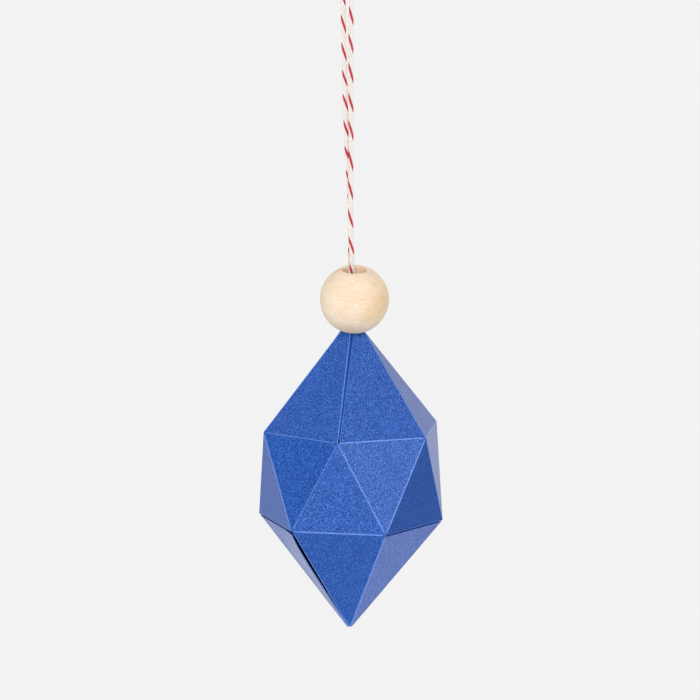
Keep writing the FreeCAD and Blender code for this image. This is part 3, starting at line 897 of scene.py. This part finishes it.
def stray_fibres(line, diameter):
    """Short bent hairs that stand out of the twine."""
    rng = random.Random(SEED)
    sides, others = carried_frames(line)
    shape = bmesh.new()
    shape.loops.layers.uv.new("lay")
    hairs, end_gap, joints, corners = 320, 40, 6, 3
    root_height, arch, taper = 0.42, 0.45, 0.6
    for _hair in range(hairs):
        at = rng.randrange(end_gap, len(line) - end_gap)
        turn = rng.uniform(0, 2 * pi)
        out = Vector(sides[at] * cos(turn) + others[at] * sin(turn))
        tangent = Vector(line[at + 1] - line[at - 1]).normalized() * rng.choice((-1, 1))
        bend = out.cross(tangent) * rng.uniform(-0.8, 0.8)
        reach = rng.uniform(0.5, 1.5) * MM
        points = []
        for step in range(joints):
            share = step / (joints - 1)
            rise = diameter * root_height + reach * arch * sin(share * rng.uniform(1.2, 1.6))
            points.append(
                Vector(line[at]) + out * rise + tangent * (reach * share) + bend * (reach * share * share))
        thin = rng.uniform(0.009, 0.015) * MM
        rings = []
        for index, point in enumerate(points):
            ahead = (points[min(index + 1, joints - 1)] - points[max(index - 1, 0)]).normalized()
            across = ahead.orthogonal().normalized()
            up = ahead.cross(across)
            radius = thin * (1 - taper * index / (joints - 1))
            turns = [2 * pi * corner / corners for corner in range(corners)]
            rings.append([
                shape.verts.new(point + (across * cos(turn) + up * sin(turn)) * radius) for turn in turns])
        for ring, after in zip(rings, rings[1:]):
            for index in range(corners):
                beside = (index + 1) % corners
                shape.faces.new((ring[index], ring[beside], after[beside], after[index])).smooth = True
        shape.faces.new(rings[0][::-1])
        shape.faces.new(rings[-1])
    return finished_mesh("twine_fibres", shape)


def knot_route(radius):
    """Route of the stopper knot: one tail, three wraps and the other tail."""
    top, bottom = -118.4, -121.0
    route = [(0.0, 2.2, -129.0), (0.2, 1.7, -125.5)]
    wraps, per_wrap = 3, 10
    for step in range(wraps * per_wrap + 1):
        turn = 2 * pi * step / per_wrap + pi / 2
        level = bottom + (top - bottom) * step / (wraps * per_wrap)
        route.append((radius / MM * cos(turn), radius / MM * sin(turn), level))
    route += [(-0.3, 0.4, -119.4), (0.0, -0.4, -121.5), (-0.1, -1.6, -125.5), (0.0, -2.2, -129.0)]
    return [(x * MM, y * MM, z * MM) for x, y, z in route]


# Operators

# Camera, fitted to the photograph: place in metres, heading, tilt and roll in degrees, lens in millimetres
CAMERA_PLACE = (0.11158, -0.77819, -0.00415)
CAMERA_TURNS = (8.2, 8.62, 0.501)
CAMERA_LENS = 140.3


class GEM_OT_studio(bpy.types.Operator):
    """Adds the plain floor, the soft light and the camera."""
    bl_idname = "gem.studio"
    bl_label = "Studio"

    def execute(self, context):
        studio = context.scene.gem_studio
        floor_mesh = bpy.data.meshes.new("floor")
        reach, white = 40.0, (1, 1, 1, 1)
        corners = [(-reach, -reach, 0), (reach, -reach, 0), (reach, reach, 0), (-reach, reach, 0)]
        floor_mesh.from_pydata(corners, [], [(0, 1, 2, 3)])
        floor = placed("floor", floor_mesh)
        floor.location.z = -studio.floor_drop
        # A matt white sheet of acrylic, lit a little from below, keeps the floor even and nearly shadowless
        material, tree, shader = blank_material("matt_white_floor")
        fill(tree, shader, {
            "Base Color": studio.paper, "Roughness": 1.0, "Specular IOR Level": 0.0, "Emission Color": white,
            "Emission Strength": studio.glow})
        floor_mesh.materials.append(material)

        world = bpy.data.worlds.new("studio")
        world.use_nodes = True
        room = world.node_tree
        heading = add_node(room, "ShaderNodeTexCoord").outputs["Generated"]
        level = add_node(room, "ShaderNodeSeparateXYZ", {"Vector": heading})
        fade = add_node(room, "ShaderNodeMapRange", {
            "Value": level.outputs["Z"], "From Min": 0.0, "From Max": 0.6,
            "To Min": studio.horizon, "To Max": studio.zenith})
        fill(room, room.nodes["Background"], {"Color": white, "Strength": fade})
        context.scene.world = world

        lamp = bpy.data.lights.new("key", "SUN")
        lamp.energy = studio.key
        lamp.angle = studio.key_spread
        key = placed("key", lamp)
        side = FRONT + studio.key_side
        source = Vector((cos(side) * cos(studio.key_height), sin(side) * cos(studio.key_height),
                         sin(studio.key_height)))
        key.rotation_euler = (-source).to_track_quat("-Z", "Y").to_euler()
        context.scene.view_settings.view_transform = "Standard"

        lens = bpy.data.cameras.new("camera")
        lens.sensor_width = 36
        lens.lens = CAMERA_LENS
        lens.clip_start = 0.01
        camera = placed("camera", lens)
        yaw, pitch, roll = (radians(turn) for turn in CAMERA_TURNS)
        right = Vector((cos(yaw), sin(yaw), 0))
        forward = Vector((-sin(yaw) * cos(pitch), cos(yaw) * cos(pitch), -sin(pitch)))
        up = right.cross(forward)
        tilted = right * cos(roll) + up * sin(roll)
        upright = up * cos(roll) - right * sin(roll)
        turn = Matrix((tilted, upright, -forward)).transposed().to_4x4()
        camera.matrix_world = Matrix.Translation(CAMERA_PLACE) @ turn
        context.scene.camera = camera
        return {"FINISHED"}


class GEM_OT_twine(bpy.types.Operator):
    """Adds the twine loop, its stray fibres and the stopper knot inside the gem."""
    bl_idname = "gem.twine"
    bl_label = "Twine"

    def execute(self, context):
        twine = context.scene.gem_twine
        cotton = [spun_cotton(twine.white, "undyed_spun_cotton"), spun_cotton(twine.red, "red_spun_cotton")]
        line, along = smooth_line(TWINE_ROUTE, 0.25 * MM)
        turns = uneven_turns(line, along, twine.lay)
        loop_mesh = twine_mesh("twine_loop", line, along, turns, twine.diameter)
        loop = new_piece("twine_loop", loop_mesh, cotton, "twine")
        hair_mesh = stray_fibres(line, twine.diameter)
        hairs = new_piece("twine_fibres", hair_mesh, cotton[:1], None)
        knot_line, knot_along = smooth_line(knot_route(twine.knot_radius), 0.3 * MM)
        knot_turns = knot_along / twine.lay
        knot_mesh = twine_mesh("stopper_knot", knot_line, knot_along, knot_turns, twine.diameter)
        knot = new_piece("stopper_knot", knot_mesh, cotton, "twine_knot")
        return {"FINISHED"}


class GEM_OT_bead(bpy.types.Operator):
    """Adds the turned wooden bead."""
    bl_idname = "gem.bead"
    bl_label = "Wooden bead"

    def execute(self, context):
        bead = context.scene.gem_bead
        woods = [turned_wood(bead, "bare_turned_hardwood", False), turned_wood(bead, "bored_hardwood_painted_light", True)]
        new_piece("turned_bead", bead_mesh(bead), woods, "wood_bead")
        return {"FINISHED"}


class GEM_OT_card(bpy.types.Operator):
    """Adds the folded and glued sheet of card."""
    bl_idname = "gem.card"
    bl_label = "Folded card"

    def execute(self, context):
        card = context.scene.gem_card
        sheet = CardSheet(card)
        for names in PANELS:
            sheet.panel(names)
        joined = 0.004 * MM
        bmesh.ops.remove_doubles(sheet.mesh, verts=sheet.mesh.verts, dist=joined)
        for face in sheet.mesh.faces:
            face.smooth = True
        solid = solid_sheet(finished_mesh("folded_card", sheet.mesh), card.thickness)
        solid.name = "folded_card"

        # At a cut edge the blade leaves the paler felt of fibres open, so it is lighter and rougher
        core = open_felt("cut_card_edge", 0.3, 2.0, [(0.35, card.blue_light), (0.6, card.core)], 0.9)

        # On a tab the colour is a deeper blue with no pale bloom: painted shade for the shade in its recess
        # under the panel on top
        tab_painted_shade = open_felt("tab_card_painted_shade", 0.5, 3.0, [(0.35, card.blue_deep), (0.6, card.tab_painted_shade)], 0.6)
        new_piece("folded_card", solid, [dyed_card(card), core, tab_painted_shade, core], "card_body")
        return {"FINISHED"}


class GEM_PT_panel(bpy.types.Panel):
    """Lists the gem's pieces and their sizes."""
    bl_idname = "GEM_PT_panel"
    bl_label = "Paper gem"
    bl_space_type = "VIEW_3D"
    bl_region_type = "UI"
    bl_category = "Paper gem"

    def draw(self, context):
        for name, operator in zip(SETTINGS, (GEM_OT_card, GEM_OT_bead, GEM_OT_twine, GEM_OT_studio)):
            box = self.layout.box()
            box.operator(operator.bl_idname)
            group = getattr(context.scene, name)
            for field in group.__annotations__:
                box.prop(group, field)


CLASSES = (*SETTINGS.values(), GEM_OT_studio, GEM_OT_twine, GEM_OT_bead, GEM_OT_card, GEM_PT_panel)


def register():
    """Registers the classes and hangs their settings on the scene."""
    for item in CLASSES:
        bpy.utils.register_class(item)
    for name, group in SETTINGS.items():
        setattr(bpy.types.Scene, name, bpy.props.PointerProperty(type=group))


def unregister():
    """Removes the settings and the classes."""
    for name in SETTINGS:
        delattr(bpy.types.Scene, name)
    for item in reversed(CLASSES):
        bpy.utils.unregister_class(item)


def main():
    """Builds the gem."""
    register()
    bpy.ops.gem.studio()
    bpy.ops.gem.twine()
    bpy.ops.gem.bead()
    bpy.ops.gem.card()


if __name__ == "__main__":
    main()
